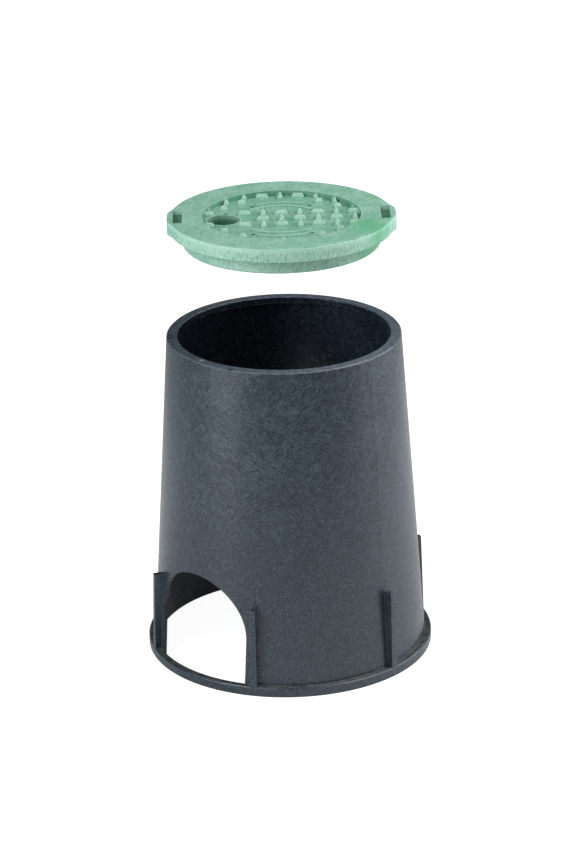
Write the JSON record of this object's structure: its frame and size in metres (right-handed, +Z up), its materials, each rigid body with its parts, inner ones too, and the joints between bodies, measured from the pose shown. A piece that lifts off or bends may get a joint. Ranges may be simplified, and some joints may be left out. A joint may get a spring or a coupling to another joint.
{
  "type": "irrigation valve box",
  "caption": "Round tapered valve box for buried irrigation valves, with two pipe arches, upright gussets, a base flange and a lift-off cover with a raised tread.",
  "frame": {"origin": "centre of the base flange's underside, on the box's axis", "axes": "+Z up along the box's axis; the two pipe arches face -Y and +Y; the cover's ears lie on the diagonal between +X and +Y"},
  "size_m": [0.2012, 0.2012, 0.3151],
  "materials": {
    "box": "dark slate-grey moulded polyethylene with faint swirls and specks",
    "cover": "pale sea-green moulded polyethylene with a fine stipple and cloudy flow marks"
  },
  "bodies": {
    "box": {"box_body": "box"},
    "cover": {"cover": "cover"}
  },
  "joints": [
    {"name": "cover_lift", "type": "slide", "parent": "box", "child": "cover", "axis": [0, 0, 1], "range_m": [-0.0755, 0]}
  ]
}
